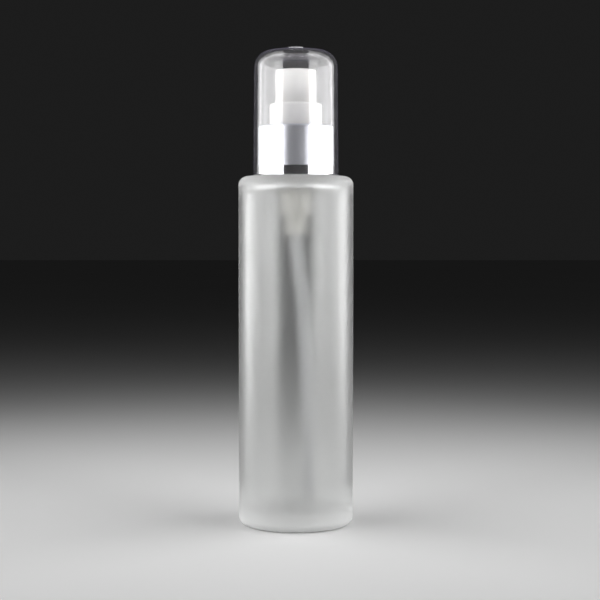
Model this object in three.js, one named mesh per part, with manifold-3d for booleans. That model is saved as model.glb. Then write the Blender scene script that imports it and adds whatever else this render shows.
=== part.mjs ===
// A slim cylindrical bottle of frosted glass with a screw-on pump, an aluminium collar and a clear overcap.
// Millimetres, +Z up. The origin is the centre of the face that the bottle stands on.
import * as THREE from "three";
import { mergeVertices } from "three/addons/utils/BufferGeometryUtils.js";
import Module from "manifold-3d";

const wasm = await Module();
wasm.setup();

// ---- Driving dimensions ----

const ARC_STEPS = 2; // an arc of a profile takes twice this many straight steps
const FINE = 40; // sides of the large round pieces
const MEDIUM = 28; // sides of the actuator and the pump housing
const COARSE = 18; // sides of the small round pieces
const RIGHT_ANGLE = Math.PI / 2;

// Glass bottle
const BODY_RADIUS = 18.25;
const BODY_WALL = 2.3;
const HEEL_ROUND = 2.4;
const FOOT_INNER_RADIUS = 11.5;
const PUSH_UP_HEIGHT = 1.2;
const FLOOR_HEIGHT = 5.0;
const FLOOR_ROUND = 3.2;
const SHOULDER_HEIGHT = 110.3;
const SHOULDER_ROUND = 2.7;
const SHOULDER_SLOPE = THREE.MathUtils.degToRad(9);
const NECK_RADIUS = 8.9;
const NECK_BORE_RADIUS = 6.6;
const NECK_ROOT_HEIGHT = 111.2;
const LIP_HEIGHT = 122.45;
const LIP_ROUND = 0.5;

// Screw thread of the neck and the closure: one start, right-handed, eight turns to the inch
const THREAD_PITCH = 3.175;
const THREAD_FADE_TURNS = 0.08;
const THREAD_STEPS_PER_TURN = 30;
const THREAD_SINK = 0.25; // how far a ridge's foot is sunk in the wall that carries it
const NECK_THREAD = { foot: NECK_RADIUS, crest: 9.95, footWidth: 2.0, crestWidth: 0.9, start: 0, turns: 1.5 };
const NECK_THREAD_HEIGHT = 116.3; // middle of the neck's ridge where it starts
const CLOSURE_THREAD = { foot: 10.15, crest: 9.25, footWidth: 1.1, crestWidth: 0.6, start: -0.25, turns: 1.25 };
const THREAD_OFFSET = 1.37; // the closure's ridge lies this far under the neck's

// Closure, collar and the stack that it clamps on the lip
const CLAMP_GAP = 0.05;
const GASKET_THICKNESS = 0.95;
const GASKET_BORE_RADIUS = NECK_BORE_RADIUS + 0.15;
const GASKET_RADIUS = NECK_RADIUS - 0.05;
const FLANGE_THICKNESS = 1.2;
const FLANGE_RADIUS = 9.0;
const CLOSURE_RADIUS = 11.45;
const CLOSURE_BORE_RADIUS = CLOSURE_THREAD.foot;
const CLOSURE_HOLE_RADIUS = 7.5;
const CLOSURE_PLATE = 1.3;
const COLLAR_RADIUS = 11.95;
const COLLAR_BAND_RADIUS = 12.05;
const COLLAR_SHEET = 0.4;
const COLLAR_BOTTOM = 111.15;
const COLLAR_BAND_TOP = 113.9;
const COLLAR_TOP = 126.7;
const COLLAR_ROUND = 0.8;
const COLLAR_HOLE_RADIUS = 7.6;
const CLOSURE_BOTTOM = COLLAR_BOTTOM + 0.55;
const CLOSURE_CHAMFER = 0.5;

const gasketBottom = LIP_HEIGHT + CLAMP_GAP;
const flangeBottom = gasketBottom + GASKET_THICKNESS + CLAMP_GAP;
const flangeTop = flangeBottom + FLANGE_THICKNESS;
const closurePlateBottom = flangeTop + 2 * CLAMP_GAP;
const closurePlateTop = closurePlateBottom + CLOSURE_PLATE;

// Turret: the ring that the actuator sinks into
const TURRET_RADIUS = 8.35;
const TURRET_BORE_RADIUS = 6.65;
const TURRET_TOP = 133.8;
const TURRET_ROUND = 0.9;
const TURRET_SKIRT_RADIUS = 7.4;
const TURRET_SKIRT_BORE = 6.4;
const TURRET_FLOOR_BOTTOM = flangeTop + 1.4;
const TURRET_FLOOR_TOP = TURRET_FLOOR_BOTTOM + 0.8;
const TURRET_STEM_HOLE = 2.3;
const TURRET_LEAD_IN = 0.25;

// Pump housing
const HOUSING_RADIUS = 4.6;
const HOUSING_BORE = 3.7;
const UPSTAND_RADIUS = 6.3;
const UPSTAND_BORE = 5.4;
const UPSTAND_TOP = TURRET_FLOOR_BOTTOM - 0.1;
const SEAL_LEDGE = flangeTop - 0.4;
const SPRING_SHELF = 102.5;
const CAGE_LIP_RADIUS = 1.3;
const CAGE_LIP_BOTTOM = SPRING_SHELF - 0.6;
const CAGE_RADIUS = 2.2;
const CAGE_CONE_TOP = CAGE_LIP_BOTTOM - 2.6;
const INLET_TOP = CAGE_CONE_TOP - 1.1;
const INLET_RADIUS = 0.9;
const SOCKET_TOP = INLET_TOP - 1.0;
const SOCKET_RADIUS = 1.95;
const SPIGOT_RADIUS = 3.1;
const SPIGOT_BOTTOM = SOCKET_TOP - 4.7;
const CAGE_SLOTS = 3;
const CAGE_SLOT_WIDTH = 0.8;
const CAGE_SLOT_HEIGHT = 1.6;
const HOUSING_TAPER = [SOCKET_TOP, SOCKET_TOP + 2.5];
const VENT_RADIUS = 0.45;
const VENT_HEIGHT = flangeBottom - 2.6;

// Plunger: stem, piston seat, piston, spring, actuator
const STROKE = 5.0;
const STEM_RADIUS = 2.0;
const STEM_BORE = 0.9;
const STEM_BOTTOM = 117.1;
const STEM_TOP = 140.0;
const STEM_COLLAR_RADIUS = 3.2;
const STEM_COLLAR = [SEAL_LEDGE - 1.8, SEAL_LEDGE - 0.1];
const STEM_PORT_RADIUS = 0.42;
const SEAT_RADIUS = 2.9;
const SEAT_THICKNESS = 1.0;
const SEAT_ROD_RADIUS = 1.2;
const SEAT_ROD_BOTTOM = SPRING_SHELF + STROKE + 0.7;
const SEAT_SPIGOT_RADIUS = 0.8;
const SEAT_SPIGOT_LENGTH = 4.7;
const SEAT_FLAT_DISTANCE = 0.45; // of the two flats on the seat's spigot, from the axis
const PISTON_SLIP = 0.8;
const PISTON_RADIUS = 3.64;
const PISTON_WAIST_RADIUS = PISTON_RADIUS - 0.6;
const PISTON_BORE_RADIUS = STEM_RADIUS + 0.06;
const PISTON_SLEEVE_WALL = 0.7;
const PISTON_LIP_THICKNESS = 0.35;
const PISTON_LIP_LAND = 0.5;
const PISTON_LIP_LENGTH = 1.3;
const PISTON_GROOVE_DEPTH = 0.7;
const SPRING_WIRE = 0.5;
const SPRING_MEAN_RADIUS = 2.9;
const SPRING_COILS = 7;
const SPRING_END_PITCH = 0.6;
const BALL_RADIUS = 1.5;

const ACTUATOR_RADIUS = 6.4;
const ACTUATOR_BOTTOM = 132.6;
const ACTUATOR_TOP = 144.4;
const ACTUATOR_ROUND = 1.0;
const ACTUATOR_DISH = 0.5;
const ACTUATOR_HOLLOW_RADIUS = 5.3;
const ACTUATOR_HOLLOW_TOP = 137.4;
const BOSS_RADIUS = 3.2;
const BOSS_BOTTOM = 133.8;
const BOSS_BORE = 2.05;
const BOSS_BORE_TOP = STEM_TOP + 0.2;
const CHANNEL_RADIUS = 0.5;
const NOZZLE_HEIGHT = 140.2;
const NOZZLE_RADIUS = 2.0;
const NOZZLE_LENGTH = 1.7;
const NOZZLE_FACE = 6.0; // distance of the nozzle's outer face from the axis
const NOZZLE_DISH_RADIUS = 1.2;
const NOZZLE_DISH_FLOOR_RADIUS = 0.5;
const NOZZLE_DISH_DEPTH = 0.5;
const ORIFICE_RADIUS = 0.25;

// Dip tube: straight in its socket, then bowed to one side
const TUBE_RADIUS = 1.9;
const TUBE_BORE = 1.3;
const TUBE_SIDES = 6;
const TUBE_STEPS = 18;
const TUBE_TOP = SOCKET_TOP - 0.2;
const TUBE_STRAIGHT_END = SPIGOT_BOTTOM - 1.0;
const TUBE_FIRST_HANDLE = new THREE.Vector3(0, 0, 84);
const TUBE_SECOND_HANDLE = new THREE.Vector3(4.5, 0.3, 70);
const TUBE_END = new THREE.Vector3(4.0, 0.6, 7.6);

// Overcap
const CAP_BOTTOM = 111.05;
const CAP_TOP = 150.5;
const CAP_RADIUS_BOTTOM = 13.5;
const CAP_RADIUS_TOP = 13.2;
const CAP_BORE_BOTTOM = 12.13;
const CAP_BORE_TOP = 11.8;
const CAP_ROUND = 5.2;
const CAP_CEILING = 149.0;
const GATE_RADIUS = 2.3;
const GATE_HEIGHT = 1.2;

// ---- Materials ----

const plain = (color, roughness, metalness = 0) => new THREE.MeshStandardMaterial({ color, roughness, metalness });
const clear = (color, roughness, opacity) =>
  new THREE.MeshStandardMaterial({ color, roughness, metalness: 0, transparent: true, opacity });

const frostedGlass = clear(0xc9cbc9, 0.6, 0.55);
const clearPlastic = clear(0xeeeef4, 0.05, 0.25);
const satinAluminium = plain(0xc4c5ca, 0.35, 1);
const whitePlastic = plain(0xf3f2ee, 0.35);
const naturalPlastic = clear(0xe9e9e4, 0.4, 0.8);
const softSeal = plain(0xe4e4df, 0.6);
const steel = plain(0xb9babd, 0.2, 1);

// ---- Helpers ----

const V2 = (x, y) => new THREE.Vector2(x, y);
const axisPoint = (height) => new THREE.Vector3(0, 0, height);

/** Turns a profile of radius and height about Z. */
function turned(path, sides) {
  return new THREE.LatheGeometry(path.getPoints(ARC_STEPS), sides).rotateX(RIGHT_ANGLE);
}

/** Turns a closed profile, given as corners of radius and height in anticlockwise order. */
function turnedCorners(corners, sides) {
  const points = [...corners, corners[0]].map(([radius, height]) => V2(radius, height));
  return new THREE.LatheGeometry(points, sides).rotateX(RIGHT_ANGLE);
}

function toSolid(geometry) {
  const bare = geometry.clone();
  bare.deleteAttribute("normal");
  bare.deleteAttribute("uv");
  const merged = mergeVertices(bare, 1e-4);
  return new wasm.Manifold(
    new wasm.Mesh({
      numProp: 3,
      vertProperties: new Float32Array(merged.attributes.position.array),
      triVerts: new Uint32Array(merged.index.array),
    }),
  );
}

function toGeometry(solid) {
  const mesh = solid.getMesh();
  const geometry = new THREE.BufferGeometry();
  geometry.setAttribute("position", new THREE.BufferAttribute(new Float32Array(mesh.vertProperties), 3));
  geometry.setIndex(new THREE.BufferAttribute(new Uint32Array(mesh.triVerts), 1));
  geometry.computeVertexNormals();
  return geometry;
}

/** The first geometry with all the others joined to it. */
function joined(geometry, ...others) {
  return toGeometry(others.reduce((solid, other) => solid.add(toSolid(other)), toSolid(geometry)));
}

/** The first geometry with all the others cut out of it. */
function cut(geometry, ...tools) {
  return toGeometry(tools.reduce((solid, tool) => solid.subtract(toSolid(tool)), toSolid(geometry)));
}

/** A cylinder along Y from one distance to another, centred on x = 0 at the given height. */
function crossPin(radius, from, to, height, sides = 12) {
  return new THREE.CylinderGeometry(radius, radius, to - from, sides).translate(0, (from + to) / 2, height);
}

/** A screw thread's ridge: a straight bar of trapezoidal section, wound into a helix that fades out at both ends. */
function threadRidge({ foot, crest, footWidth, crestWidth, start, turns }, height) {
  const outward = Math.sign(crest - foot);
  const sunk = foot - outward * THREAD_SINK;
  const halfFoot = footWidth / 2;
  const halfCrest = crestWidth / 2;
  const section = [V2(-halfFoot, sunk), V2(-halfFoot, foot), V2(-halfCrest, crest)];
  section.push(V2(halfCrest, crest), V2(halfFoot, foot), V2(halfFoot, sunk));
  const bar = new THREE.ExtrudeGeometry(new THREE.Shape(section), {
    depth: 1,
    steps: Math.round(turns * THREAD_STEPS_PER_TURN),
    bevelEnabled: false,
  });
  const place = bar.attributes.position;
  for (let i = 0; i < place.count; i++) {
    const turn = place.getZ(i) * turns;
    const fade = Math.min(1, turn / THREAD_FADE_TURNS, (turns - turn) / THREAD_FADE_TURNS);
    const radius = sunk + (place.getY(i) - sunk) * Math.max(fade, 0.1);
    const angle = (start + turn) * 2 * Math.PI;
    const level = height + (start + turn) * THREAD_PITCH + place.getX(i);
    place.setXYZ(i, radius * Math.cos(angle), radius * Math.sin(angle), level);
  }
  return bar;
}

// ---- Glass ----

function bottle() {
  const inner = BODY_RADIUS - BODY_WALL;
  const roundCentre = BODY_RADIUS - SHOULDER_ROUND;
  const innerShoulder = SHOULDER_HEIGHT - BODY_WALL;
  const path = new THREE.Path();
  path.moveTo(0, PUSH_UP_HEIGHT);
  path.lineTo(FOOT_INNER_RADIUS - 3, PUSH_UP_HEIGHT);
  path.quadraticCurveTo(FOOT_INNER_RADIUS - 0.8, PUSH_UP_HEIGHT, FOOT_INNER_RADIUS, 0);
  path.absarc(BODY_RADIUS - HEEL_ROUND, HEEL_ROUND, HEEL_ROUND, -RIGHT_ANGLE, 0);
  path.absarc(roundCentre, SHOULDER_HEIGHT - SHOULDER_ROUND, SHOULDER_ROUND, 0, RIGHT_ANGLE - SHOULDER_SLOPE);
  path.lineTo(NECK_RADIUS + 0.9, NECK_ROOT_HEIGHT);
  path.quadraticCurveTo(NECK_RADIUS, NECK_ROOT_HEIGHT + 0.1, NECK_RADIUS, NECK_ROOT_HEIGHT + 1);
  path.absarc(NECK_RADIUS - LIP_ROUND, LIP_HEIGHT - LIP_ROUND, LIP_ROUND, 0, RIGHT_ANGLE);
  path.absarc(NECK_BORE_RADIUS + LIP_ROUND, LIP_HEIGHT - LIP_ROUND, LIP_ROUND, RIGHT_ANGLE, Math.PI);
  path.lineTo(NECK_BORE_RADIUS, innerShoulder + 4.5);
  path.quadraticCurveTo(NECK_BORE_RADIUS, innerShoulder + 1, NECK_BORE_RADIUS + 2.8, innerShoulder + 0.7);
  path.absarc(inner - FLOOR_ROUND, innerShoulder - FLOOR_ROUND, FLOOR_ROUND, RIGHT_ANGLE, 0, true);
  path.absarc(inner - FLOOR_ROUND, FLOOR_HEIGHT + FLOOR_ROUND, FLOOR_ROUND, 0, -RIGHT_ANGLE, true);
  path.lineTo(0, FLOOR_HEIGHT);
  return joined(turned(path, FINE), threadRidge(NECK_THREAD, NECK_THREAD_HEIGHT));
}

// ---- Closure and collar ----

function gasket() {
  const top = gasketBottom + GASKET_THICKNESS;
  const [bore, rim] = [GASKET_BORE_RADIUS, GASKET_RADIUS];
  return turnedCorners([[bore, gasketBottom], [rim, gasketBottom], [rim, top], [bore, top]], FINE);
}

function closure() {
  const shell = turnedCorners(
    [
      [CLOSURE_BORE_RADIUS, CLOSURE_BOTTOM],
      [CLOSURE_RADIUS, CLOSURE_BOTTOM],
      [CLOSURE_RADIUS, closurePlateTop - CLOSURE_CHAMFER],
      [CLOSURE_RADIUS - CLOSURE_CHAMFER, closurePlateTop],
      [CLOSURE_HOLE_RADIUS, closurePlateTop],
      [CLOSURE_HOLE_RADIUS, closurePlateBottom],
      [CLOSURE_BORE_RADIUS, closurePlateBottom],
    ],
    FINE,
  );
  return joined(shell, threadRidge(CLOSURE_THREAD, NECK_THREAD_HEIGHT - THREAD_OFFSET));
}

function collarShell() {
  const bore = COLLAR_RADIUS - COLLAR_SHEET;
  const ceiling = COLLAR_TOP - COLLAR_SHEET;
  const roundCentre = [COLLAR_RADIUS - COLLAR_ROUND, COLLAR_TOP - COLLAR_ROUND];
  const path = new THREE.Path();
  path.moveTo(bore, COLLAR_BOTTOM);
  path.lineTo(COLLAR_BAND_RADIUS, COLLAR_BOTTOM);
  path.lineTo(COLLAR_BAND_RADIUS, COLLAR_BAND_TOP);
  path.lineTo(COLLAR_RADIUS, COLLAR_BAND_TOP + 0.1);
  path.absarc(...roundCentre, COLLAR_ROUND, 0, RIGHT_ANGLE);
  path.lineTo(COLLAR_HOLE_RADIUS, COLLAR_TOP);
  path.lineTo(COLLAR_HOLE_RADIUS, ceiling);
  path.absarc(...roundCentre, COLLAR_ROUND - COLLAR_SHEET, RIGHT_ANGLE, 0, true);
  path.lineTo(bore, COLLAR_BOTTOM);
  return turned(path, FINE);
}

// ---- Pump body ----

function turret() {
  const seat = COLLAR_TOP + CLAMP_GAP;
  const path = new THREE.Path();
  path.moveTo(TURRET_STEM_HOLE, TURRET_FLOOR_BOTTOM);
  path.lineTo(TURRET_SKIRT_BORE, TURRET_FLOOR_BOTTOM);
  path.lineTo(TURRET_SKIRT_BORE, flangeTop + 0.2);
  path.lineTo(TURRET_SKIRT_RADIUS, flangeTop + 0.2);
  path.lineTo(TURRET_SKIRT_RADIUS, seat);
  path.lineTo(TURRET_RADIUS, seat);
  path.absarc(TURRET_RADIUS - TURRET_ROUND, TURRET_TOP - TURRET_ROUND, TURRET_ROUND, 0, RIGHT_ANGLE);
  path.lineTo(TURRET_BORE_RADIUS + TURRET_LEAD_IN, TURRET_TOP);
  path.lineTo(TURRET_BORE_RADIUS, TURRET_TOP - TURRET_LEAD_IN);
  path.lineTo(TURRET_BORE_RADIUS, TURRET_FLOOR_TOP);
  path.lineTo(TURRET_STEM_HOLE, TURRET_FLOOR_TOP);
  path.lineTo(TURRET_STEM_HOLE, TURRET_FLOOR_BOTTOM);
  return turned(path, FINE);
}

function stemSeal() {
  const bottom = SEAL_LEDGE + CLAMP_GAP;
  const top = TURRET_FLOOR_BOTTOM - CLAMP_GAP;
  const [lip, rim] = [STEM_RADIUS + 0.08, UPSTAND_BORE - 0.08];
  return turnedCorners(
    [[lip, bottom], [rim, bottom], [rim, top], [lip + 1.4, top], [lip + 0.4, bottom + 0.6], [lip, bottom + 0.6]],
    MEDIUM,
  );
}

function pumpHousing() {
  const [taperBottom, taperTop] = HOUSING_TAPER;
  const body = turnedCorners(
    [
      [SOCKET_RADIUS, SPIGOT_BOTTOM],
      [SPIGOT_RADIUS, SPIGOT_BOTTOM],
      [SPIGOT_RADIUS, taperBottom],
      [HOUSING_RADIUS, taperTop],
      [HOUSING_RADIUS, flangeBottom],
      [FLANGE_RADIUS, flangeBottom],
      [FLANGE_RADIUS, flangeTop],
      [UPSTAND_RADIUS, flangeTop],
      [UPSTAND_RADIUS, UPSTAND_TOP],
      [UPSTAND_BORE, UPSTAND_TOP],
      [UPSTAND_BORE, SEAL_LEDGE],
      [HOUSING_BORE, SEAL_LEDGE],
      [HOUSING_BORE, SPRING_SHELF],
      [CAGE_LIP_RADIUS, SPRING_SHELF],
      [CAGE_LIP_RADIUS, CAGE_LIP_BOTTOM],
      [CAGE_RADIUS, CAGE_LIP_BOTTOM - 0.2],
      [CAGE_RADIUS, CAGE_CONE_TOP],
      [INLET_RADIUS, INLET_TOP],
      [INLET_RADIUS, SOCKET_TOP],
      [SOCKET_RADIUS, SOCKET_TOP],
    ],
    MEDIUM,
  );
  const vent = crossPin(VENT_RADIUS, 0, HOUSING_RADIUS + 1, VENT_HEIGHT);
  const slots = Array.from({ length: CAGE_SLOTS }, (_, i) =>
    new THREE.BoxGeometry(CAGE_RADIUS, CAGE_SLOT_WIDTH, CAGE_SLOT_HEIGHT)
      .translate(CAGE_RADIUS / 2, 0, SPRING_SHELF - 0.5)
      .rotateZ((i * 2 * Math.PI) / CAGE_SLOTS),
  );
  return cut(body, vent, ...slots);
}

function tubePath() {
  const path = new THREE.CurvePath();
  const bend = axisPoint(TUBE_STRAIGHT_END);
  path.add(new THREE.LineCurve3(axisPoint(TUBE_TOP), bend));
  path.add(new THREE.CubicBezierCurve3(bend, TUBE_FIRST_HANDLE, TUBE_SECOND_HANDLE, TUBE_END));
  return path;
}

function dipTube() {
  const wall = new THREE.Shape().absarc(0, 0, TUBE_RADIUS, 0, 2 * Math.PI);
  wall.holes.push(new THREE.Path().absarc(0, 0, TUBE_BORE, 0, 2 * Math.PI, true));
  return new THREE.ExtrudeGeometry(wall, {
    extrudePath: tubePath(),
    steps: TUBE_STEPS,
    curveSegments: TUBE_SIDES,
    bevelEnabled: false,
  });
}

/** Height of a ball's centre when it rests on the cone of the inlet valve, with a hair's clearance. */
function ballRest() {
  const rise = CAGE_CONE_TOP - INLET_TOP;
  const run = CAGE_RADIUS - INLET_RADIUS;
  const slant = Math.hypot(rise, run);
  return INLET_TOP + (BALL_RADIUS * slant - INLET_RADIUS * rise) / run + 0.04;
}

function checkBall() {
  return new THREE.SphereGeometry(BALL_RADIUS, 16, 10).rotateX(RIGHT_ANGLE).translate(0, 0, ballRest());
}

// ---- Plunger ----

function stem() {
  const [collarBottom, collarTop] = STEM_COLLAR;
  const tube = turnedCorners(
    [
      [STEM_BORE, STEM_BOTTOM],
      [STEM_RADIUS, STEM_BOTTOM],
      [STEM_RADIUS, collarBottom],
      [STEM_COLLAR_RADIUS, collarBottom],
      [STEM_COLLAR_RADIUS, collarTop - 0.4],
      [STEM_COLLAR_RADIUS - 0.4, collarTop],
      [STEM_RADIUS, collarTop],
      [STEM_RADIUS, STEM_TOP - 0.3],
      [STEM_RADIUS - 0.3, STEM_TOP],
      [STEM_BORE, STEM_TOP],
    ],
    COARSE,
  );
  const reach = STEM_RADIUS + 1;
  return cut(tube, crossPin(STEM_PORT_RADIUS, -reach, reach, STEM_BOTTOM + 0.6));
}

function pistonSeat() {
  const flangeTopHeight = STEM_BOTTOM - CLAMP_GAP;
  const flangeBottomHeight = flangeTopHeight - SEAT_THICKNESS;
  const path = new THREE.Path();
  path.moveTo(0, SEAT_ROD_BOTTOM);
  path.lineTo(SEAT_ROD_RADIUS - 0.3, SEAT_ROD_BOTTOM);
  path.lineTo(SEAT_ROD_RADIUS, SEAT_ROD_BOTTOM + 0.6);
  path.lineTo(SEAT_ROD_RADIUS, flangeBottomHeight);
  path.lineTo(SEAT_RADIUS, flangeBottomHeight);
  path.lineTo(SEAT_RADIUS, flangeTopHeight);
  path.lineTo(SEAT_SPIGOT_RADIUS, flangeTopHeight);
  path.lineTo(SEAT_SPIGOT_RADIUS, STEM_BOTTOM + SEAT_SPIGOT_LENGTH);
  path.lineTo(0, STEM_BOTTOM + SEAT_SPIGOT_LENGTH);
  const flats = [-1, 1].map((side) => {
    const block = new THREE.BoxGeometry(2 * SEAT_RADIUS, SEAT_RADIUS, 2 * SEAT_SPIGOT_LENGTH);
    const middle = side * (SEAT_FLAT_DISTANCE + SEAT_RADIUS / 2);
    return block.translate(0, middle, flangeTopHeight + SEAT_SPIGOT_LENGTH);
  });
  return cut(turned(path, COARSE), ...flats);
}

function piston() {
  const bottom = STEM_BOTTOM + CLAMP_GAP;
  const top = STEM_COLLAR[0] - PISTON_SLIP;
  const sleeve = PISTON_BORE_RADIUS + PISTON_SLEEVE_WALL;
  const groove = PISTON_WAIST_RADIUS - 0.2;
  const lipEdge = PISTON_RADIUS - PISTON_LIP_THICKNESS;
  return turnedCorners(
    [
      [PISTON_BORE_RADIUS, bottom],
      [sleeve, bottom],
      [groove, bottom + PISTON_GROOVE_DEPTH],
      [lipEdge, bottom],
      [PISTON_RADIUS, bottom],
      [PISTON_RADIUS, bottom + PISTON_LIP_LAND],
      [PISTON_WAIST_RADIUS, bottom + PISTON_LIP_LENGTH],
      [PISTON_WAIST_RADIUS, top - PISTON_LIP_LENGTH],
      [PISTON_RADIUS, top - PISTON_LIP_LAND],
      [PISTON_RADIUS, top],
      [lipEdge, top],
      [groove, top - PISTON_GROOVE_DEPTH],
      [sleeve, top],
      [PISTON_BORE_RADIUS, top],
    ],
    MEDIUM,
  );
}

/** A compression spring's centre line: open coils between one closed coil at each end. */
class SpringCurve extends THREE.Curve {
  constructor(bottom, top) {
    super();
    this.bottom = bottom;
    this.coilPitch = (top - bottom - 2 * SPRING_END_PITCH) / SPRING_COILS;
  }

  getPoint(t, target = new THREE.Vector3()) {
    const turn = t * (SPRING_COILS + 2);
    const open = THREE.MathUtils.clamp(turn - 1, 0, SPRING_COILS);
    const height = this.bottom + open * this.coilPitch + (turn - open) * SPRING_END_PITCH;
    const angle = turn * 2 * Math.PI;
    return target.set(SPRING_MEAN_RADIUS * Math.cos(angle), SPRING_MEAN_RADIUS * Math.sin(angle), height);
  }
}

function spring() {
  const half = SPRING_WIRE / 2 + CLAMP_GAP;
  const seatUnderside = STEM_BOTTOM - CLAMP_GAP - SEAT_THICKNESS;
  const wire = new THREE.Shape().absarc(0, 0, SPRING_WIRE / 2, 0, 2 * Math.PI);
  return new THREE.ExtrudeGeometry(wire, {
    extrudePath: new SpringCurve(SPRING_SHELF + half, seatUnderside - half),
    steps: 10 * (SPRING_COILS + 2),
    curveSegments: 3,
    bevelEnabled: false,
  });
}

function actuator() {
  const path = new THREE.Path();
  path.moveTo(0, BOSS_BORE_TOP);
  path.lineTo(BOSS_BORE, BOSS_BORE_TOP);
  path.lineTo(BOSS_BORE, BOSS_BOTTOM);
  path.lineTo(BOSS_RADIUS, BOSS_BOTTOM);
  path.lineTo(BOSS_RADIUS, ACTUATOR_HOLLOW_TOP);
  path.lineTo(ACTUATOR_HOLLOW_RADIUS, ACTUATOR_HOLLOW_TOP);
  path.lineTo(ACTUATOR_HOLLOW_RADIUS, ACTUATOR_BOTTOM);
  path.lineTo(ACTUATOR_RADIUS, ACTUATOR_BOTTOM);
  const roundCentre = ACTUATOR_RADIUS - ACTUATOR_ROUND;
  path.absarc(roundCentre, ACTUATOR_TOP - ACTUATOR_ROUND, ACTUATOR_ROUND, 0, RIGHT_ANGLE);
  path.lineTo(roundCentre - 0.5, ACTUATOR_TOP);
  path.quadraticCurveTo(roundCentre / 2, ACTUATOR_TOP - ACTUATOR_DISH, 0, ACTUATOR_TOP - ACTUATOR_DISH);
  const recess = crossPin(NOZZLE_RADIUS + 0.1, NOZZLE_FACE - NOZZLE_LENGTH - 0.1, 8, NOZZLE_HEIGHT, COARSE);
  const channelHeight = BOSS_BORE_TOP + CHANNEL_RADIUS + 0.1;
  const channel = crossPin(CHANNEL_RADIUS, 0, NOZZLE_FACE - 1, channelHeight);
  const riser = new THREE.CylinderGeometry(STEM_BORE, STEM_BORE, 2, 12)
    .rotateX(RIGHT_ANGLE)
    .translate(0, 0, BOSS_BORE_TOP);
  return cut(turned(path, MEDIUM), recess, channel, riser);
}

function nozzleInsert() {
  const plug = turnedCorners(
    [
      [ORIFICE_RADIUS, 0],
      [NOZZLE_RADIUS, 0],
      [NOZZLE_RADIUS, NOZZLE_LENGTH - 0.2],
      [NOZZLE_RADIUS - 0.2, NOZZLE_LENGTH],
      [NOZZLE_DISH_RADIUS, NOZZLE_LENGTH],
      [NOZZLE_DISH_FLOOR_RADIUS, NOZZLE_LENGTH - NOZZLE_DISH_DEPTH],
      [ORIFICE_RADIUS, NOZZLE_LENGTH - NOZZLE_DISH_DEPTH],
    ],
    COARSE,
  );
  return plug.rotateX(-RIGHT_ANGLE).translate(0, NOZZLE_FACE - NOZZLE_LENGTH, NOZZLE_HEIGHT);
}

// ---- Overcap ----

function overcap() {
  const shellRound = CAP_ROUND - (CAP_RADIUS_TOP - CAP_BORE_TOP);
  const boreRoundHeight = CAP_CEILING - shellRound;
  const path = new THREE.Path();
  path.moveTo(0, CAP_CEILING);
  path.lineTo(CAP_BORE_TOP - shellRound, CAP_CEILING);
  path.absarc(CAP_BORE_TOP - shellRound, boreRoundHeight, shellRound, RIGHT_ANGLE, 0, true);
  path.lineTo(CAP_BORE_BOTTOM, CAP_BOTTOM + 0.2);
  path.lineTo(CAP_BORE_BOTTOM + 0.2, CAP_BOTTOM);
  path.lineTo(CAP_RADIUS_BOTTOM - 0.3, CAP_BOTTOM);
  path.lineTo(CAP_RADIUS_BOTTOM, CAP_BOTTOM + 0.3);
  path.absarc(CAP_RADIUS_TOP - CAP_ROUND, CAP_TOP - CAP_ROUND, CAP_ROUND, 0, RIGHT_ANGLE);
  path.lineTo(GATE_RADIUS, CAP_TOP);
  path.lineTo(GATE_RADIUS, CAP_TOP + GATE_HEIGHT);
  path.lineTo(0, CAP_TOP + GATE_HEIGHT);
  return turned(path, FINE);
}

// ---- Assembly ----

function node(name, geometry, material) {
  const mesh = new THREE.Mesh(geometry, material);
  mesh.name = name;
  return mesh;
}

function group(name, ...meshes) {
  const made = new THREE.Group();
  made.name = name;
  made.add(...meshes);
  return made;
}

export default group(
  "pump_bottle",
  node("bottle", bottle(), frostedGlass),
  group(
    "pump_group",
    node("pump_housing", pumpHousing(), naturalPlastic),
    node("turret", turret(), whitePlastic),
    node("gasket", gasket(), softSeal),
    node("stem_seal", stemSeal(), softSeal),
    node("dip_tube", dipTube(), naturalPlastic),
    node("spring", spring(), steel),
    node("check_ball", checkBall(), steel),
  ),
  group("closure_group", node("closure", closure(), whitePlastic), node("collar_shell", collarShell(), satinAluminium)),
  group(
    "plunger_group",
    node("stem", stem(), naturalPlastic),
    node("piston_seat", pistonSeat(), naturalPlastic),
    node("piston", piston(), softSeal),
    node("actuator", actuator(), whitePlastic),
    node("nozzle_insert", nozzleInsert(), whitePlastic),
  ),
  node("overcap", overcap(), clearPlastic),
);
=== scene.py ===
"""The looks of a frosted-glass pump bottle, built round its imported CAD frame.

Named sizes and the corners of profiles are in millimetres. Blender objects, the lights and the camera,
with the names that place them, are in metres.
The origin is the centre of the bottle's base, Z is up, and the camera looks along +Y.
"""

import math

import bpy
import numpy as np
from mathutils import Matrix, Vector


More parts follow.
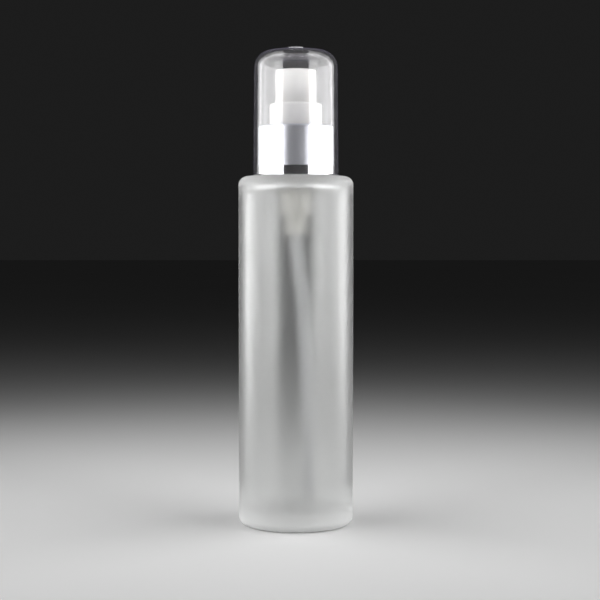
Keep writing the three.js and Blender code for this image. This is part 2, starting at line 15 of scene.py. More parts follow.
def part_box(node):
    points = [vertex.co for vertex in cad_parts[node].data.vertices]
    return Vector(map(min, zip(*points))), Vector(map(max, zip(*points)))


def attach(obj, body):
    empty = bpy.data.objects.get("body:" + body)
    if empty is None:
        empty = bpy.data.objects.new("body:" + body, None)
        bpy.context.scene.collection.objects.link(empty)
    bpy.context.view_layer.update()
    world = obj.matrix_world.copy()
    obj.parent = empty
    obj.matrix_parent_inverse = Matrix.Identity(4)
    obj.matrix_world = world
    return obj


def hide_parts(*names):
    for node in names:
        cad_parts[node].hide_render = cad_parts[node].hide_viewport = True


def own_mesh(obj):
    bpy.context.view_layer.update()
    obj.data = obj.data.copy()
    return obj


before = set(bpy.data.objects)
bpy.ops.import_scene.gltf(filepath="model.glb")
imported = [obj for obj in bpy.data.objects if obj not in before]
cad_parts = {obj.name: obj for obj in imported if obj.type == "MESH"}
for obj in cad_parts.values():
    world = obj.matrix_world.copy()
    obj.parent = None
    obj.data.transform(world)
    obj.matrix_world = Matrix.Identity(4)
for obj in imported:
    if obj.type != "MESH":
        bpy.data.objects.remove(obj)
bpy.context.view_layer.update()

MM = 0.001
ROUND = 144  # sides of the large turned pieces
SMALL_ROUND = 72  # sides of the small ones
ARC_STEPS = 5  # straight steps of one rounded corner
SUPPORT = 0.12  # mm from a rounded corner to the ring of points that keeps the wall beside it straight


# ---- Where the CAD pieces are ----


def box_mm(node):
    """Lowest and highest corner of a CAD node, in mm."""
    low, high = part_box(node)
    return [value / MM for value in low], [value / MM for value in high]


def span(node):
    """Bottom height, top height and radius of a CAD node that is round about Z, in mm."""
    low, high = box_mm(node)
    return low[2], high[2], max(high[0], -low[0])


# ---- Turned shapes ----


def rounded(corners, closed):
    """Points of a profile whose corners are (radius, height) or (radius, height, rounding), in mm."""
    count = len(corners)
    places = [np.array(corner[:2], float) for corner in corners]
    points = []
    for i, corner in enumerate(corners):
        rounding = corner[2] if len(corner) > 2 else 0
        at_end = not closed and i in (0, count - 1)
        if not rounding or at_end:
            points.append(places[i])
            continue
        back = places[i - 1] - places[i]
        ahead = places[(i + 1) % count] - places[i]
        back_length, ahead_length = np.linalg.norm(back), np.linalg.norm(ahead)
        back, ahead = back / back_length, ahead / ahead_length
        half = math.acos(np.clip(back @ ahead, -1, 1)) / 2
        reach = min(rounding / math.tan(half), 0.48 * back_length, 0.48 * ahead_length)
        radius = reach * math.tan(half)
        middle = back + ahead
        centre = places[i] + middle / np.linalg.norm(middle) * radius / math.sin(half)
        start = places[i] + back * reach - centre
        end = places[i] + ahead * reach - centre
        turn = math.atan2(start[0] * end[1] - start[1] * end[0], start @ end)
        steps = max(ARC_STEPS, math.ceil(abs(turn) * radius / 0.35))
        for step in range(steps + 1):
            angle = turn * step / steps
            c, s = math.cos(angle), math.sin(angle)
            points.append(centre + np.array([c * start[0] - s * start[1], s * start[0] + c * start[1]]))
    return points


def supported(points, closed, fine=None):
    """The profile with a point added just inside each end of every long straight stretch.

    fine is (low, high, step): stretches between those heights are also divided into steps."""
    out = []
    last = len(points) if closed else len(points) - 1
    for i in range(last):
        a, b = points[i], points[(i + 1) % len(points)]
        length = np.linalg.norm(b - a)
        out.append(a)
        if fine and length > 2 * fine[2] and min(a[1], b[1]) < fine[1] and max(a[1], b[1]) > fine[0]:
            steps = math.ceil(length / fine[2])
            out += [a + (b - a) * step / steps for step in range(1, steps)]
        elif length > 6 * SUPPORT:
            out += [a + (b - a) * SUPPORT / length, b + (a - b) * SUPPORT / length]
    if not closed:
        out.append(points[-1])
    return out


def turned(name, corners, closed=True, sides=ROUND, ridge=None, fine=None):
    """A mesh turned about Z from a profile in mm.

    ridge(angle, radius, height) gives what to add to the radius there."""
    profile = supported(rounded(corners, closed), closed, fine)
    vertices, rings = [], []
    for radius, height in profile:
        if radius < 1e-6:
            rings.append([len(vertices)] * sides)
            vertices.append((0, 0, height * MM))
            continue
        rings.append(range(len(vertices), len(vertices) + sides))
        for k in range(sides):
            angle = 2 * math.pi * k / sides
            r = radius + (ridge(angle, radius, height) if ridge else 0)
            vertices.append((r * math.cos(angle) * MM, r * math.sin(angle) * MM, height * MM))
    faces = []
    for i in range(len(rings) if closed else len(rings) - 1):
        lower, upper = rings[i], rings[(i + 1) % len(rings)]
        for k in range(sides):
            n = (k + 1) % sides
            corners_of_face = [lower[k], lower[n], upper[n], upper[k]]
            faces.append(list(dict.fromkeys(corners_of_face)))
    return mesh_object(name, vertices, faces)


def mesh_object(name, vertices, faces, sharp_degrees=35):
    mesh = bpy.data.meshes.new(name)
    mesh.from_pydata(vertices, [], faces)
    mesh.validate()
    mesh.shade_smooth()
    mesh.set_sharp_from_angle(angle=math.radians(sharp_degrees))
    piece = bpy.data.objects.new(name, mesh)
    bpy.context.scene.collection.objects.link(piece)
    return piece


def tube_along(name, centres, wire, bore=0, sides=24):
    """A round bar along points in mm, or a pipe if it has a bore. Ends are square to the path."""
    centres = [Vector(point) for point in centres]
    rings = [wire] if not bore else [wire, bore]
    vertices, faces = [], []
    normal = Vector((1, 0, 0))
    for i, centre in enumerate(centres):
        ahead = (centres[min(i + 1, len(centres) - 1)] - centres[max(i - 1, 0)]).normalized()
        normal = (normal - ahead * normal.dot(ahead)).normalized()
        across = ahead.cross(normal)
        for radius in rings:
            for k in range(sides):
                angle = 2 * math.pi * k / sides
                offset = normal * math.cos(angle) + across * math.sin(angle)
                vertices.append((centre + offset * radius) * MM)
    stride = sides * len(rings)
    for i in range(len(centres) - 1):
        for k in range(sides):
            n = (k + 1) % sides
            a, b = i * stride, (i + 1) * stride
            faces.append((a + k, a + n, b + n, b + k))
            if bore:
                faces.append((a + sides + n, a + sides + k, b + sides + k, b + sides + n))
    top = (len(centres) - 1) * stride
    if bore:
        for k in range(sides):
            n = (k + 1) % sides
            faces.append((n, k, sides + k, sides + n))
            faces.append((top + k, top + n, top + sides + n, top + sides + k))
    else:
        faces.append(tuple(reversed(range(sides))))
        faces.append(tuple(range(top, top + sides)))
    return mesh_object(name, vertices, faces)


def carved(piece, *cutters):
    """piece with the cutters taken out of it; the cutters are removed."""
    for cutter in cutters:
        cut = piece.modifiers.new("cut", "BOOLEAN")
        cut.operation = "DIFFERENCE"
        cut.solver = "EXACT"
        cut.object = cutter
    graph = bpy.context.evaluated_depsgraph_get()
    mesh = bpy.data.meshes.new_from_object(piece.evaluated_get(graph), depsgraph=graph)
    piece.modifiers.clear()
    piece.data = mesh
    for cutter in cutters:
        bpy.data.objects.remove(cutter)
    mesh.shade_smooth()
    mesh.set_sharp_from_angle(angle=math.radians(35))
    return piece


def turned_to_back(piece, distance, height):
    """Lays a piece turned about Z down so that its +Z points to +Y, then moves it."""
    for vertex in piece.data.vertices:
        x, y, z = vertex.co
        vertex.co = (-x, z + distance * MM, y + height * MM)
    piece.data.update()
    return piece


def pin_to_back(radius, start, end, height, sides=24):
    """A plain pin along Y between two distances in mm, to cut a hole with."""
    length = end - start
    pin = turned("pin", [(0, 0), (radius, 0), (radius, length), (0, length)], closed=False, sides=sides)
    return turned_to_back(pin, start, height)


def block(low, high, turn=0):
    """A plain box between two corners in mm, turned about Z, to cut a slot or a flat with."""
    corners = [(x, y, z) for x in (low[0], high[0]) for y in (low[1], high[1]) for z in (low[2], high[2])]
    spin = Matrix.Rotation(turn, 3, "Z")
    faces = [(0, 1, 3, 2), (4, 6, 7, 5), (0, 4, 5, 1), (2, 3, 7, 6), (0, 2, 6, 4), (1, 5, 7, 3)]
    return mesh_object("block", [spin @ Vector(corner) * MM for corner in corners], faces)


# ---- Screw thread ----

THREAD_PITCH = 3.175


def thread_height(angle, height, first, start, turns, foot, crest):
    """Share of a thread's full height at a point of the wall: 0 off the ridge and 1 on its crest."""
    base = angle / (2 * math.pi)
    best = 0
    for whole in range(-2, 4):
        turn = base + whole
        if not start <= turn <= start + turns:
            continue
        away = abs(height - first - turn * THREAD_PITCH)
        share = np.clip((foot / 2 - away) / ((foot - crest) / 2), 0, 1)
        fade = min(1, (turn - start) / 0.08, (start + turns - turn) / 0.08)
        best = max(best, share * share * (3 - 2 * share) * fade)
    return best


# ---- Materials ----


class Look:
    """A Principled material with helpers that add pattern to it."""

    def __init__(self, name, color, roughness, **inputs):
        self.material = bpy.data.materials.new(name)
        self.material.use_nodes = True
        self.tree = self.material.node_tree
        self.shader = self.tree.nodes["Principled BSDF"]
        self.shader.inputs["Base Color"].default_value = (*color, 1)
        self.shader.inputs["Roughness"].default_value = roughness
        for key, value in inputs.items():
            self.shader.inputs[key.replace("_", " ")].default_value = value
        self.material.diffuse_color = (*color, 1)

    def noise(self, scale, detail=3, stretch=(1, 1, 1)):
        nodes, links = self.tree.nodes, self.tree.links
        place = nodes.new("ShaderNodeTexCoord")
        mapping = nodes.new("ShaderNodeMapping")
        mapping.inputs["Scale"].default_value = stretch
        texture = nodes.new("ShaderNodeTexNoise")
        texture.inputs["Scale"].default_value = scale
        texture.inputs["Detail"].default_value = detail
        links.new(place.outputs["Object"], mapping.inputs["Vector"])
        links.new(mapping.outputs["Vector"], texture.inputs["Vector"])
        return texture.outputs["Fac"]

    def height(self):
        """Height above the floor at rest, in metres."""
        place = self.tree.nodes.new("ShaderNodeTexCoord")
        split = self.tree.nodes.new("ShaderNodeSeparateXYZ")
        self.tree.links.new(place.outputs["Object"], split.inputs["Vector"])
        return split.outputs["Z"]

    def ranged(self, value, low, high, from_low=0.3, from_high=0.7):
        node = self.tree.nodes.new("ShaderNodeMapRange")
        node.inputs["From Min"].default_value = from_low
        node.inputs["From Max"].default_value = from_high
        node.inputs["To Min"].default_value = low
        node.inputs["To Max"].default_value = high
        self.tree.links.new(value, node.inputs["Value"])
        return node.outputs["Result"]

    def roughness(self, low, high, scale, **noise):
        value = self.ranged(self.noise(scale, **noise), low, high)
        self.tree.links.new(value, self.shader.inputs["Roughness"])
        return self

    def color(self, first, second, scale, **noise):
        share = self.ranged(self.noise(scale, **noise), 0, 1)
        mix = self.tree.nodes.new("ShaderNodeMix")
        mix.data_type = "RGBA"
        mix.inputs["A"].default_value = (*first, 1)
        mix.inputs["B"].default_value = (*second, 1)
        self.tree.links.new(share, mix.inputs["Factor"])
        self.tree.links.new(mix.outputs["Result"], self.shader.inputs["Base Color"])
        return self

    def relief(self, depth_mm, scale, strength=1.0, **noise):
        bump = self.tree.nodes.new("ShaderNodeBump")
        bump.inputs["Strength"].default_value = strength
        bump.inputs["Distance"].default_value = depth_mm * MM
        self.tree.links.new(self.noise(scale, **noise), bump.inputs["Height"])
        self.tree.links.new(bump.outputs["Normal"], self.shader.inputs["Normal"])
        return self


HEEL_LOW, HEEL_HIGH = 3, 15  # mm, between these heights the frost of the thick base clears into the body's


def frost_look(name, shade, clearness, roughness, base_clearness=None):
    look = Look(name, (shade, shade + 0.005, shade), roughness, Transmission_Weight=clearness, IOR=1.5)
    if base_clearness is not None:
        value = look.ranged(look.height(), base_clearness, clearness, HEEL_LOW * MM, HEEL_HIGH * MM)
        look.tree.links.new(value, look.shader.inputs["Transmission Weight"])
    return look.roughness(roughness - 0.03, roughness + 0.03, 160, detail=4).material


def clear_glass_look():
    look = Look("clear_glass", (0.97, 0.975, 0.97), 0.02, Transmission_Weight=1.0, IOR=1.5)
    look.roughness(0.01, 0.05, 70)
    return look.relief(0.05, 40, 0.08, detail=1).material


def clear_plastic_look():
    look = Look("clear_plastic", (0.985, 0.98, 0.99), 0.03, Transmission_Weight=0.985, IOR=1.5,
                Sheen_Weight=0.12, Sheen_Roughness=0.35, Sheen_Tint=(0.72, 0.66, 1.0, 1))
    look.roughness(0.015, 0.06, 120, detail=4)
    return look.relief(0.05, 60, 0.15, detail=1).material


def satin_aluminium_look():
    look = Look("satin_aluminium", (0.80, 0.805, 0.83), 0.3, Metallic=1.0)
    look.color((0.76, 0.775, 0.82), (0.82, 0.835, 0.88), 90, stretch=(1, 1, 0.15))
    look.roughness(0.36, 0.44, 900, detail=3, stretch=(1, 1, 0.1))
    return look.relief(0.006, 4200, 0.5, detail=2).material


def polished_aluminium_look():
    look = Look("polished_aluminium", (0.86, 0.86, 0.875), 0.06, Metallic=1.0)
    look.roughness(0.04, 0.1, 500, stretch=(0.2, 0.2, 3))
    return look.relief(0.003, 1500, 0.4, detail=2, stretch=(0.1, 0.1, 1)).material


def white_plastic_look():
    color = (0.995, 0.965, 0.905)
    look = Look("white_plastic", color, 0.4, IOR=1.49, Subsurface_Weight=1.0, Subsurface_Scale=0.004)
    look.shader.inputs["Subsurface Radius"].default_value = (1, 1, 1)
    look.color(color, tuple(c * 0.97 for c in color), 60)
    look.roughness(0.36, 0.46, 260, detail=4)
    return look.relief(0.01, 1800, 0.5, detail=3).material


def natural_plastic_look():
    look = Look("natural_plastic", (0.92, 0.90, 0.86), 0.35, Transmission_Weight=0.35, IOR=1.49,
                Subsurface_Weight=0.2, Subsurface_Scale=0.002)
    look.shader.inputs["Subsurface Radius"].default_value = (1, 1, 1)
    look.color((0.92, 0.90, 0.86), (0.88, 0.86, 0.82), 140)
    look.roughness(0.3, 0.45, 300)
    return look.relief(0.01, 1200, 0.5).material


def tube_plastic_look():
    look = Look("tube_plastic", (0.90, 0.90, 0.91), 0.22, Transmission_Weight=0.6, IOR=1.5)
    look.color((0.91, 0.91, 0.92), (0.87, 0.87, 0.89), 200, stretch=(1, 1, 0.1))
    look.roughness(0.18, 0.3, 300, stretch=(1, 1, 0.1))
    return look.relief(0.01, 900, 0.4, stretch=(1, 1, 0.05)).material


def seal_look():
    look = Look("soft_seal", (0.84, 0.84, 0.81), 0.6, IOR=1.45)
    look.color((0.84, 0.84, 0.81), (0.78, 0.78, 0.75), 500)
    look.roughness(0.52, 0.7, 700)
    return look.relief(0.03, 2200, 0.8, detail=4).material


def steel_look():
    look = Look("steel", (0.62, 0.62, 0.63), 0.2, Metallic=1.0)
    look.color((0.64, 0.64, 0.65), (0.56, 0.56, 0.57), 400)
    look.roughness(0.14, 0.3, 900, detail=4)
    return look.relief(0.004, 3000, 0.4).material


LOOKS = {
    "frost": frost_look("frosted_glass", 0.89, 0.965, 0.38, base_clearness=0.58),
    "shoulder": frost_look("frosted_shoulder_glass", 0.94, 0.88, 0.58),
    "glass": clear_glass_look(),
    "clear": clear_plastic_look(),
    "satin": satin_aluminium_look(),
    "polished": polished_aluminium_look(),
    "white": white_plastic_look(),
    "natural": natural_plastic_look(),
    "tube": tube_plastic_look(),
    "seal": seal_look(),
    "steel": steel_look(),
}


def finish_piece(piece, body, node, slot, *looks, choose=None):
    """Paints a piece, fixes it to its body and lets it stand for its CAD node.

    choose(centre of a face, in mm) gives the number of that face's look."""
    for look in looks:
        piece.data.materials.append(LOOKS[look])
    if choose:
        for face in piece.data.polygons:
            face.material_index = choose(face.center / MM)
    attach(piece, body)
    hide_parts(node)
    return piece


# ---- Glass bottle ----

BODY_WALL = 2.3
FLOOR_HEIGHT = 5.0
FLOOR_ROUND = 3.2
HEEL_ROUND = 2.4
SHOULDER_ROUND = 2.7
SHOULDER_HEIGHT = 110.3
SHOULDER_SLOPE = math.radians(9)
NECK_RADIUS = 8.9
NECK_BORE = 6.6
NECK_ROOT = 111.2
FOOT_RING = 11.5
PUSH_UP = 1.2
THREADED = (112, 122, 0.14)  # lowest and highest point of the screw threads, and the step that shows them
CLEAR_INSIDE = (4.4, 103)  # heights between which the inner wall is left clear
NECK_THREAD = dict(first=116.3, start=0, turns=1.5, foot=2.0, crest=0.9)
NECK_THREAD_DEPTH = 1.05


def neck_ridge(angle, radius, height):
    if not (NECK_ROOT < height < THREADED[1] and abs(radius - NECK_RADIUS) < 0.01):
        return 0
    return NECK_THREAD_DEPTH * thread_height(angle, height, **NECK_THREAD)


def make_bottle():
    _, lip, radius = span("bottle")
    inner = radius - BODY_WALL
    shoulder_edge = SHOULDER_HEIGHT + SHOULDER_ROUND * math.sin(SHOULDER_SLOPE)
    inner_top = SHOULDER_HEIGHT - BODY_WALL
    corners = [
        (0, PUSH_UP),
        (FOOT_RING - 1.6, PUSH_UP, 2.5),
        (FOOT_RING, 0, 0.6),
        (radius, 0, HEEL_ROUND),
        (radius, shoulder_edge, SHOULDER_ROUND),
        (NECK_RADIUS, NECK_ROOT, 0.9),
        (NECK_RADIUS, lip, 0.5),
        (NECK_BORE, lip, 0.5),
        (NECK_BORE, inner_top + 0.9, 2.2),
        (inner, inner_top + 0.1, FLOOR_ROUND),
        (inner, FLOOR_HEIGHT, FLOOR_ROUND),
        (0, FLOOR_HEIGHT),
    ]
    piece = turned("glass_bottle", corners, closed=False, ridge=neck_ridge, fine=THREADED)

    def choose(centre):
        inside = centre.xy.length < inner + 0.4 and CLEAR_INSIDE[0] < centre.z < CLEAR_INSIDE[1]
        in_bore = centre.z > inner_top and centre.xy.length < NECK_BORE + 0.3
        if inside or in_bore:
            return 1
        return 2 if centre.z > SHOULDER_HEIGHT - SHOULDER_ROUND else 0

    looks = ("frost", "glass", "shoulder")
    return finish_piece(piece, "bottle_body", "bottle", "frosted_glass", *looks, choose=choose)


# ---- Overcap ----

CAP_ROUND = 5.2
CAP_TOP = 150.5
CAP_CEILING = 149.0
CAP_RADIUS_TOP = 13.2
CAP_BORE_TOP = 11.8
CAP_BORE_BOTTOM = 12.13
CAP_INNER_ROUND = 3.8
GATE_RADIUS = 2.3


def make_overcap():
    low, high, radius = span("overcap")
    corners = [
        (0, CAP_CEILING),
        (CAP_BORE_TOP, CAP_CEILING, CAP_INNER_ROUND),
        (CAP_BORE_BOTTOM, low + 0.2, 0.1),
        (CAP_BORE_BOTTOM + 0.2, low, 0.1),
        (radius - 0.25, low, 0.15),
        (radius, low + 0.3, 0.2),
        (CAP_RADIUS_TOP, CAP_TOP, CAP_ROUND),
        (GATE_RADIUS, CAP_TOP, 0.25),
        (GATE_RADIUS, high, 0.25),
        (0, high),
    ]
    piece = turned("clear_overcap", corners, closed=False)
    return finish_piece(piece, "cap_body", "overcap", "clear_plastic", "clear")


# ---- Closure, collar and gasket ----

CLOSURE_BORE = 10.15
CLOSURE_HOLE = 7.5
CLOSURE_PLATE = 1.3
COLLAR_RADIUS = 11.95
COLLAR_BORE = 11.55
COLLAR_HOLE = 7.6
COLLAR_SHEET = 0.4
COLLAR_BAND_TOP = 113.9
GASKET_BORE = 6.75
CLOSURE_THREAD_DEPTH = 0.9
CLOSURE_THREAD = dict(first=114.93, start=-0.25, turns=1.25, foot=1.1, crest=0.6)


def closure_ridge(angle, radius, height):
    if abs(radius - CLOSURE_BORE) > 0.01 or height > THREADED[1]:
        return 0
    return -CLOSURE_THREAD_DEPTH * thread_height(angle, height, **CLOSURE_THREAD)


def make_closure():
    low, high, radius = span("closure")
    corners = [
        (CLOSURE_BORE, low, 0.15),
        (radius, low, 0.2),
        (radius, high, 0.5),
        (CLOSURE_HOLE, high, 0.1),
        (CLOSURE_HOLE, high - CLOSURE_PLATE, 0.1),
        (CLOSURE_BORE, high - CLOSURE_PLATE, 0.2),
    ]
    piece = turned("screw_closure", corners, ridge=closure_ridge, fine=THREADED)
    return finish_piece(piece, "closure_body", "closure", "white_plastic", "white")


def make_collar():
    low, high, band = span("collar_shell")
    outer, bore, step = COLLAR_RADIUS, COLLAR_BORE, COLLAR_BAND_TOP
    corners = [
        (bore, low, 0.08),
        (band, low, 0.15),
        (band, step, 0.06),
        (outer - 0.08, step + 0.04, 0.03),
        (outer - 0.08, step + 0.14, 0.03),
        (outer, step + 0.18, 0.03),
        (outer, high, 0.8),
        (COLLAR_HOLE, high, 0.1),
        (COLLAR_HOLE, high - COLLAR_SHEET, 0.1),
        (bore, high - COLLAR_SHEET, 0.4),
    ]
    piece = turned("collar_shell_satin", corners)

    def choose(centre):
        return 1 if centre.z < step + 0.12 and centre.xy.length > bore + 0.05 else 0

    return finish_piece(
        piece, "closure_body", "collar_shell", "satin_aluminium", "satin", "polished", choose=choose
    )


def make_gasket():
    low, high, radius = span("gasket")
    sides = (GASKET_BORE, radius)
    corners = [(sides[0], low, 0.15), (sides[1], low, 0.15), (sides[1], high, 0.15), (sides[0], high, 0.15)]
    piece = turned("lip_gasket", corners)
    return finish_piece(piece, "pump_body", "gasket", "seal", "seal")


# ---- Pump body ----

TURRET_STEM_HOLE = 2.3
TURRET_SKIRT_BORE = 6.4
TURRET_SKIRT_RADIUS = 7.4
TURRET_BORE = 6.65
HOUSING_RADIUS = 4.6
HOUSING_BORE = 3.7
SPIGOT_RADIUS = 3.1
SOCKET_RADIUS = 1.95
SOCKET_TOP = 97.2
UPSTAND_RADIUS = 6.3
UPSTAND_BORE = 5.4
SEAL_LEDGE = 124.3
SPRING_SHELF = 102.5
CAGE_RADIUS = 2.2
CAGE_LIP = 1.3
INLET_RADIUS = 0.9
VENT_RADIUS = 0.45


def make_turret():
    low, high, radius = span("turret")
    seat, floor = 126.75, 126.1
    corners = [
        (TURRET_STEM_HOLE, floor, 0.1),
        (TURRET_SKIRT_BORE, floor, 0.1),
        (TURRET_SKIRT_BORE, low, 0.1),
        (TURRET_SKIRT_RADIUS, low, 0.1),
        (TURRET_SKIRT_RADIUS, seat, 0.05),
        (radius, seat, 0.15),
        (radius, high, 0.85),
        (TURRET_BORE, high, 0.3),
        (TURRET_BORE, floor + 0.8, 0.3),
        (TURRET_STEM_HOLE, floor + 0.8, 0.15),
    ]
    piece = turned("turret_ring", corners)
    return finish_piece(piece, "pump_body", "turret", "white_plastic", "white")


CAGE_SLOTS = 3


def make_housing():
    low, high, flange = span("pump_housing")
    flange_low, flange_top = 123.5, 124.7
    shelf = SPRING_SHELF
    corners = [
        (SOCKET_RADIUS, low, 0.15),
        (SPIGOT_RADIUS, low, 0.2),
        (SPIGOT_RADIUS, SOCKET_TOP, 1.0),
        (HOUSING_RADIUS, 99.7, 1.0),
        (HOUSING_RADIUS, flange_low, 0.3),
        (flange, flange_low, 0.15),
        (flange, flange_top, 0.15),
        (UPSTAND_RADIUS, flange_top, 0.15),
        (UPSTAND_RADIUS, high, 0.2),
        (UPSTAND_BORE, high, 0.15),
        (UPSTAND_BORE, SEAL_LEDGE, 0.05),
        (HOUSING_BORE, SEAL_LEDGE, 0.15),
        (HOUSING_BORE, shelf, 0.2),
        (CAGE_LIP, shelf, 0.1),
        (CAGE_LIP, shelf - 0.6, 0.1),
        (CAGE_RADIUS, shelf - 0.8, 0.1),
        (CAGE_RADIUS, 99.3, 0.1),
        (INLET_RADIUS, 98.2, 0.1),
        (INLET_RADIUS, SOCKET_TOP, 0.05),
        (SOCKET_RADIUS, SOCKET_TOP, 0.1),
    ]
    piece = turned("pump_housing_natural", corners)
    vent = pin_to_back(VENT_RADIUS, 0, HOUSING_RADIUS + 1, flange_low - 2.6)
    slots = [
        block((0, -0.4, shelf - 1.3), (CAGE_RADIUS, 0.4, shelf + 0.3), i * 2 * math.pi / CAGE_SLOTS)
        for i in range(CAGE_SLOTS)
    ]
    carved(piece, vent, *slots)
    return finish_piece(piece, "pump_body", "pump_housing", "natural_plastic", "natural")


def make_stem_seal():
    low, high, radius = span("stem_seal")
    corners = [
        (2.08, low, 0.05),
        (radius, low, 0.1),
        (radius, high, 0.1),
        (3.4, high, 0.1),
        (2.4, low + 0.6, 0.1),
        (2.08, low + 0.6, 0.05),
    ]
    piece = turned("stem_seal_ring", corners, sides=SMALL_ROUND)
    return finish_piece(piece, "pump_body", "stem_seal", "seal", "seal")


TUBE_CURVE = ((0, 0, 91.5), (0, 0, 84), (4.5, 0.3, 70), (4.0, 0.6, 7.6))  # mm, handles of the bowed part
TUBE_STEPS = 60
TUBE_LEAD_STEPS = 6
TUBE_RADIUS = 1.9
TUBE_BORE = 1.3


def make_dip_tube():
    _, high = box_mm("dip_tube")
    top = Vector((0, 0, high[2]))
    bend, first, second, end = (Vector(point) for point in TUBE_CURVE)
    route = [top.lerp(bend, step / TUBE_LEAD_STEPS) for step in range(TUBE_LEAD_STEPS)]
    for step in range(TUBE_STEPS + 1):
        t = step / TUBE_STEPS
        u = 1 - t
        route.append(bend * u**3 + first * 3 * u * u * t + second * 3 * u * t * t + end * t**3)
    piece = tube_along("dip_tube_clear", route, TUBE_RADIUS, bore=TUBE_BORE, sides=40)
    return finish_piece(piece, "pump_body", "dip_tube", "natural_plastic", "tube")


SPRING_STEPS_PER_TURN = 40


def make_spring():
    low, high, _ = span("spring")
    wire, mean, coils, end_pitch = 0.25, 2.9, 7, 0.6
    bottom, top = low + wire, high - wire
    pitch = (top - bottom - 2 * end_pitch) / coils
    route = []
    for step in range((coils + 2) * SPRING_STEPS_PER_TURN + 1):
        turn = step / SPRING_STEPS_PER_TURN
        open_turns = min(max(turn - 1, 0), coils)
        angle = 2 * math.pi * turn
        height = bottom + open_turns * pitch + (turn - open_turns) * end_pitch
        route.append((mean * math.cos(angle), mean * math.sin(angle), height))
    piece = tube_along("return_spring", route, wire, sides=12)
    return finish_piece(piece, "pump_body", "spring", "steel", "steel")


def make_ball():
    low, high, radius = span("check_ball")
    centre = (low + high) / 2
    rows = 24
    corners = [
        (radius * math.sin(math.pi * row / rows), centre - radius * math.cos(math.pi * row / rows))
        for row in range(rows + 1)
    ]
    corners[0] = (0, centre - radius)
    corners[-1] = (0, centre + radius)
    piece = turned("check_ball_steel", corners, closed=False, sides=48)
    return finish_piece(piece, "ball_body", "check_ball", "steel", "steel")


# ---- Plunger ----

STEM_RADIUS = 2.0
STEM_BORE = 0.9
STEM_PORT = 0.42
SEAT_SPIGOT = 0.8
SEAT_SPIGOT_LENGTH = 4.7
SEAT_ROD = 1.2
SEAT_FLAT = 0.45
CLAMP_GAP = 0.05


def make_stem():
    low, high, collar_radius = span("stem")
    collar_low, collar_high = 122.5, 124.2
    corners = [
        (STEM_BORE, low, 0.1),
        (STEM_RADIUS, low, 0.1),
        (STEM_RADIUS, collar_low, 0.05),
        (collar_radius, collar_low, 0.1),
        (collar_radius, collar_high, 0.5),
        (STEM_RADIUS, collar_high, 0.05),
        (STEM_RADIUS, high, 0.3),
        (STEM_BORE, high, 0.1),
    ]
    piece = turned("pump_stem", corners, sides=SMALL_ROUND)
    carved(piece, pin_to_back(STEM_PORT, -3, 3, low + 0.6))
    return finish_piece(piece, "head_body", "stem", "natural_plastic", "natural")


def make_seat():
    low, high, radius = span("piston_seat")
    flange = high - SEAT_SPIGOT_LENGTH - CLAMP_GAP
    corners = [
        (0, low),
        (SEAT_ROD, low, 0.4),
        (SEAT_ROD, flange - 1.0, 0.1),
        (radius, flange - 1.0, 0.1),
        (radius, flange, 0.1),
        (SEAT_SPIGOT, flange, 0.05),
        (SEAT_SPIGOT, high, 0.1),
        (0, high),
    ]
    piece = turned("piston_seat_natural", corners, closed=False, sides=SMALL_ROUND)
    carved(
        piece,
        block((-3, SEAT_FLAT, flange), (3, 3, high + 3)),
        block((-3, -3, flange), (3, -SEAT_FLAT, high + 3)),
    )
    return finish_piece(piece, "seat_body", "piston_seat", "natural_plastic", "natural")


def make_piston():
    low, high, radius = span("piston")
    bore, waist = 2.06, radius - 0.6
    corners = [
        (bore, low, 0.1),
        (bore + 0.7, low, 0.1),
        (waist - 0.2, low + 0.7, 0.1),
        (radius - 0.35, low, 0.05),
        (radius, low, 0.05),
        (radius, low + 0.5, 0.2),
        (waist, low + 1.3, 0.3),
        (waist, high - 1.3, 0.3),
        (radius, high - 0.5, 0.2),
        (radius, high, 0.05),
        (radius - 0.35, high, 0.05),
        (waist - 0.2, high - 0.7, 0.1),
        (bore + 0.7, high, 0.1),
        (bore, high, 0.1),
    ]
    piece = turned("pump_piston", corners, sides=SMALL_ROUND)
    return finish_piece(piece, "piston_body", "piston", "seal", "seal")


NOZZLE_HEIGHT = 140.2
NOZZLE_RADIUS = 2.0
NOZZLE_LENGTH = 1.7
NOZZLE_BACK = 4.3  # distance of the nozzle's inner end from the axis
ORIFICE_RADIUS = 0.25
BOSS_RADIUS = 3.2
BOSS_BORE = 2.05
BOSS_BOTTOM = 133.8
BOSS_BORE_TOP = 140.2
BUTTON_HOLLOW = 5.3
BUTTON_HOLLOW_TOP = 137.4
CHANNEL_RADIUS = 0.5


def make_actuator():
    low, high, radius = span("actuator")
    boss_top = BOSS_BORE_TOP
    corners = [
        (0, boss_top + 1.0),
        (STEM_BORE, boss_top + 1.0, 0.1),
        (STEM_BORE, boss_top),
        (BOSS_BORE, boss_top, 0.1),
        (BOSS_BORE, BOSS_BOTTOM, 0.2),
        (BOSS_RADIUS, BOSS_BOTTOM, 0.2),
        (BOSS_RADIUS, BUTTON_HOLLOW_TOP, 0.3),
        (BUTTON_HOLLOW, BUTTON_HOLLOW_TOP, 0.5),
        (BUTTON_HOLLOW, low, 0.15),
        (radius, low, 0.2),
        (radius, high, 0.9),
        (radius - 1.6, high, 2.0),
        (2.2, high - 0.5, 3.0),
        (0, high - 0.5),
    ]
    piece = turned("actuator_button", corners, closed=False)
    room = NOZZLE_RADIUS + 0.1
    profile = [(0, 0), (room, 0, 0.1), (room, 5), (0, 5)]
    pocket = turned("pocket", profile, closed=False, sides=SMALL_ROUND)
    turned_to_back(pocket, NOZZLE_BACK - 0.1, NOZZLE_HEIGHT)
    carved(piece, pocket, pin_to_back(CHANNEL_RADIUS, 0, 5, boss_top + 0.6))
    return finish_piece(piece, "head_body", "actuator", "white_plastic", "white")


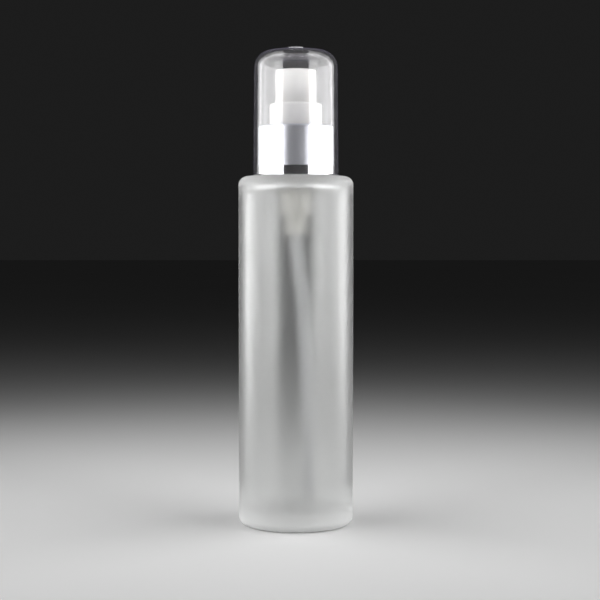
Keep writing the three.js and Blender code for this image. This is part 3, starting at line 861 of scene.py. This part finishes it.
def make_nozzle():
    corners = [
        (ORIFICE_RADIUS, 0, 0.02),
        (NOZZLE_RADIUS, 0, 0.1),
        (NOZZLE_RADIUS, NOZZLE_LENGTH, 0.25),
        (1.2, NOZZLE_LENGTH, 0.1),
        (0.5, 1.2, 0.1),
        (ORIFICE_RADIUS, 1.2, 0.05),
    ]
    piece = turned("nozzle_insert_white", corners, sides=SMALL_ROUND)
    turned_to_back(piece, NOZZLE_BACK, NOZZLE_HEIGHT)
    return finish_piece(piece, "head_body", "nozzle_insert", "white_plastic", "white")


# ---- The object ----

make_bottle()
make_overcap()
make_closure()
make_collar()
make_gasket()
make_turret()
make_housing()
make_stem_seal()
make_dip_tube()
spring = make_spring()
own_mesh(spring)
make_ball()
make_stem()
make_seat()
make_piston()
make_actuator()
make_nozzle()


# ---- Floor, backdrop, light and camera ----

FLOOR_HALF = 4.0
FLOOR_FRONT, FLOOR_BACK = -2.0, 6.0
PAPER, PAPER_SHADE = (0.62, 0.62, 0.62), (0.60, 0.60, 0.60)


def make_stage():
    look = Look("studio_paper", PAPER, 0.7)
    look.color(PAPER, PAPER_SHADE, 3)
    vertices = [
        (-FLOOR_HALF, FLOOR_FRONT, 0),
        (FLOOR_HALF, FLOOR_FRONT, 0),
        (FLOOR_HALF, FLOOR_BACK, 0),
        (-FLOOR_HALF, FLOOR_BACK, 0),
    ]
    floor = mesh_object("studio_floor", vertices, [(0, 1, 2, 3)])
    floor.data.materials.append(look.material)


def area_light(name, place, target, size, power):
    data = bpy.data.lights.new(name, "AREA")
    data.shape = "RECTANGLE"
    data.size, data.size_y = size
    data.energy = power
    lamp = bpy.data.objects.new(name, data)
    lamp.location = place
    lamp.rotation_euler = (Vector(target) - Vector(place)).to_track_quat("-Z", "Y").to_euler()
    bpy.context.scene.collection.objects.link(lamp)
    return lamp


# name of a panel, watts of the low one and watts of the one above it
PANELS = (("front", 0.55, 0.05), ("side", 0.37, 0.10), ("back", 0.34, 0.08))
PANEL_DISTANCE = 0.42  # of a low panel from the bottle's axis
PANEL_STEP = math.radians(30)  # from one panel to the next, round the bottle
FIRST_PANEL = math.radians(52)  # middle of the front panel, from the camera's direction
LOW_PANEL_HEIGHT = 0.23
LOW_PANEL_RISE = 0.44
HIGH_PANEL_HEIGHT = 0.43
HIGH_PANEL_SIZE = (0.16, 0.257)
HIGH_PANEL_TARGET = (0, 0, 0.08)
PANEL_SPREAD = math.radians(100)  # narrowed like a gridded softbox, so the far floor stays darker
WORLD_STRENGTH = 0.012


def make_lights():
    distance = PANEL_DISTANCE
    width = 2 * distance * math.tan(PANEL_STEP / 2)
    for side, side_name in ((-1, "left"), (1, "right")):
        for row, (row_name, power, high_power) in enumerate(PANELS):
            azimuth = FIRST_PANEL + row * PANEL_STEP
            x, y = side * distance * math.sin(azimuth), -distance * math.cos(azimuth)
            name = "panel_%s_%s" % (side_name, row_name)
            height = LOW_PANEL_HEIGHT
            low = area_light(name, (x, y, height), (0, 0, height), (width, LOW_PANEL_RISE), power)
            place = (x * 0.55, y * 0.55, HIGH_PANEL_HEIGHT)
            high = area_light(name + "_high", place, HIGH_PANEL_TARGET, HIGH_PANEL_SIZE, high_power)
            for panel in (low, high):
                panel.data.spread = PANEL_SPREAD
                panel.visible_camera = False
    world = bpy.data.worlds.new("studio")
    world.use_nodes = True
    background = world.node_tree.nodes["Background"]
    background.inputs["Color"].default_value = (1, 1, 1, 1)
    background.inputs["Strength"].default_value = WORLD_STRENGTH
    bpy.context.scene.world = world


def make_camera():
    data = bpy.data.cameras.new("camera")
    data.sensor_width = 36
    data.lens = 86.1
    data.clip_start, data.clip_end = 0.01, 20
    camera = bpy.data.objects.new("camera", data)
    camera.location = (0.0013, -0.4575, 0.0907)
    camera.rotation_euler = (math.radians(90 - 2.395), 0, 0)
    bpy.context.scene.collection.objects.link(camera)
    bpy.context.scene.camera = camera


make_stage()
make_lights()
make_camera()
bpy.context.scene.view_settings.view_transform = "Standard"
